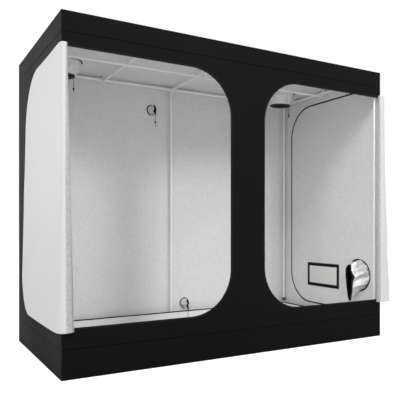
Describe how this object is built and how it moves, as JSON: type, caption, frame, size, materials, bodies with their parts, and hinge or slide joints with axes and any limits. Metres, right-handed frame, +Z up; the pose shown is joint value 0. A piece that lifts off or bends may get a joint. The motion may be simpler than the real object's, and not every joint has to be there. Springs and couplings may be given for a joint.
{
  "type": "indoor grow tent",
  "caption": "Light-proof cloth tent on a push-fit tube frame, with two roll-back front doors, a zipped side door, a mesh vent, duct and cable sleeves, hanging bars and a floor tray.",
  "frame": {"origin": "on the floor, under the middle of the tent, its drawstrings and cord locks left out", "axes": "+X along the longer side to the right as the doors are seen, +Y from the doors to the rear wall, +Z up"},
  "size_m": [2.4256, 1.2028, 2],
  "materials": {
    "black_cloth": "matt coated cloth",
    "white_lining": "satin white lining",
    "silver_cloth": "satin reflective cloth",
    "white_steel": "white powder coat",
    "connector_steel": "white powder coat",
    "pale_mesh": "fine mesh",
    "black_tape": "woven tape",
    "black_cord": "braided cord",
    "black_plastic": "moulded",
    "dark_metal": "blackened"
  },
  "bodies": {
    "tent": {"front_panel": "black_cloth", "rear_panel": "black_cloth", "left_panel": "black_cloth", "right_panel": "black_cloth", "roof_panel": "black_cloth", "floor_panel": "black_cloth", "side_door_panel": "black_cloth", "floor_tray": "silver_cloth", "left_ceiling_duct_sleeve": "silver_cloth", "right_ceiling_duct_sleeve": "silver_cloth", "side_duct_sleeve": "silver_cloth", "upper_cable_sleeve": "silver_cloth", "lower_cable_sleeve": "silver_cloth", "front_left_upright": "white_steel", "front_mid_upright": "white_steel", "front_right_upright": "white_steel", "rear_left_upright": "white_steel", "rear_mid_upright": "white_steel", "rear_right_upright": "white_steel", "front_left_top_rail": "white_steel", "front_right_top_rail": "white_steel", "rear_left_top_rail": "white_steel", "rear_right_top_rail": "white_steel", "left_top_rail": "white_steel", "mid_top_rail": "white_steel", "right_top_rail": "white_steel", "base_frame": "white_steel", "front_left_connector": "connector_steel", "front_mid_connector": "connector_steel", "front_right_connector": "connector_steel", "rear_left_connector": "connector_steel", "rear_mid_connector": "connector_steel", "rear_right_connector": "connector_steel", "vent_mesh": "pale_mesh", "left_door_zip": "black_tape", "right_door_zip": "black_tape", "side_door_zip": "black_tape", "vent_border": "black_tape", "rear_right_tray_strap": "black_tape", "left_ceiling_duct_cord": "black_cord", "right_ceiling_duct_cord": "black_cord", "side_duct_cord": "black_cord", "upper_cable_cord": "black_cord", "lower_cable_cord": "black_cord"},
    "left_door_hem": {"left_door_hem": "white_lining"},
    "left_front_door": {"left_front_door": "white_lining"},
    "right_door_hem": {"right_door_hem": "white_lining"},
    "right_front_door": {"right_front_door": "white_lining"},
    "left_hanging_bar": {"left_hanging_bar": "white_steel"},
    "right_hanging_bar": {"right_hanging_bar": "white_steel"},
    "left_crossing_bar": {"left_crossing_bar": "white_steel"},
    "right_crossing_bar": {"right_crossing_bar": "white_steel"},
    "left_zip_slider": {"left_zip_slider": "dark_metal"},
    "right_zip_slider": {"right_zip_slider": "dark_metal"},
    "side_zip_slider": {"side_zip_slider": "dark_metal"},
    "left_ceiling_duct_toggle": {"left_ceiling_duct_toggle": "black_plastic"},
    "right_ceiling_duct_toggle": {"right_ceiling_duct_toggle": "black_plastic"},
    "side_duct_toggle": {"side_duct_toggle": "black_plastic"},
    "upper_cable_toggle": {"upper_cable_toggle": "black_plastic"},
    "lower_cable_toggle": {"lower_cable_toggle": "black_plastic"}
  },
  "joints": [
    {"name": "left_door_swing", "type": "hinge", "parent": "tent", "child": "left_door_hem", "pos_m": [-1.16, -0.6004, 0], "axis": [0, 0, 1], "range_deg": [0, 180]},
    {"name": "left_door_fold", "type": "hinge", "parent": "left_door_hem", "child": "left_front_door", "pos_m": [-1.2008, -0.5994, 0], "axis": [0, 0, 1], "range_deg": [0, 90]},
    {"name": "right_door_swing", "type": "hinge", "parent": "tent", "child": "right_door_hem", "pos_m": [1.16, -0.6004, 0], "axis": [0, 0, -1], "range_deg": [0, 180]},
    {"name": "right_door_fold", "type": "hinge", "parent": "right_door_hem", "child": "right_front_door", "pos_m": [1.2008, -0.5994, 0], "axis": [0, 0, -1], "range_deg": [0, 90]},
    {"name": "left_zip_slide", "type": "slide", "parent": "tent", "child": "left_zip_slider", "axis": [1, 0, 0], "range_m": [0, 0.68]},
    {"name": "right_zip_slide", "type": "slide", "parent": "tent", "child": "right_zip_slider", "axis": [-1, 0, 0], "range_m": [0, 0.68]},
    {"name": "side_zip_slide", "type": "slide", "parent": "tent", "child": "side_zip_slider", "axis": [0, 1, 0], "range_m": [0, 0.74]},
    {"name": "left_hanging_bar_slide", "type": "slide", "parent": "tent", "child": "left_hanging_bar", "axis": [0, 1, 0], "range_m": [-0.46, 0]},
    {"name": "right_hanging_bar_slide", "type": "slide", "parent": "tent", "child": "right_hanging_bar", "axis": [0, 1, 0], "range_m": [0, 0.18]},
    {"name": "left_crossing_bar_slide", "type": "slide", "parent": "tent", "child": "left_crossing_bar", "axis": [1, 0, 0], "range_m": [-0.22, 0.49]},
    {"name": "right_crossing_bar_slide", "type": "slide", "parent": "tent", "child": "right_crossing_bar", "axis": [1, 0, 0], "range_m": [-0.49, 0.22]},
    {"name": "left_ceiling_duct_toggle_slide", "type": "slide", "parent": "tent", "child": "left_ceiling_duct_toggle", "axis": [0, 0, 1], "range_m": [-0.012, 0.057]},
    {"name": "right_ceiling_duct_toggle_slide", "type": "slide", "parent": "tent", "child": "right_ceiling_duct_toggle", "axis": [0, 0, 1], "range_m": [-0.012, 0.057]},
    {"name": "side_duct_toggle_slide", "type": "slide", "parent": "tent", "child": "side_duct_toggle", "axis": [0, 0, 1], "range_m": [-0.018, 0.049]},
    {"name": "upper_cable_toggle_slide", "type": "slide", "parent": "tent", "child": "upper_cable_toggle", "axis": [0, 0, 1], "range_m": [-0.027, 0.049]},
    {"name": "lower_cable_toggle_slide", "type": "slide", "parent": "tent", "child": "lower_cable_toggle", "axis": [0, 0, 1], "range_m": [-0.061, 0.002]}
  ],
  "couplings": [
    {"joint": "left_door_fold", "follows": "left_door_swing", "ratio": 0.5},
    {"joint": "right_door_fold", "follows": "right_door_swing", "ratio": 0.5}
  ]
}
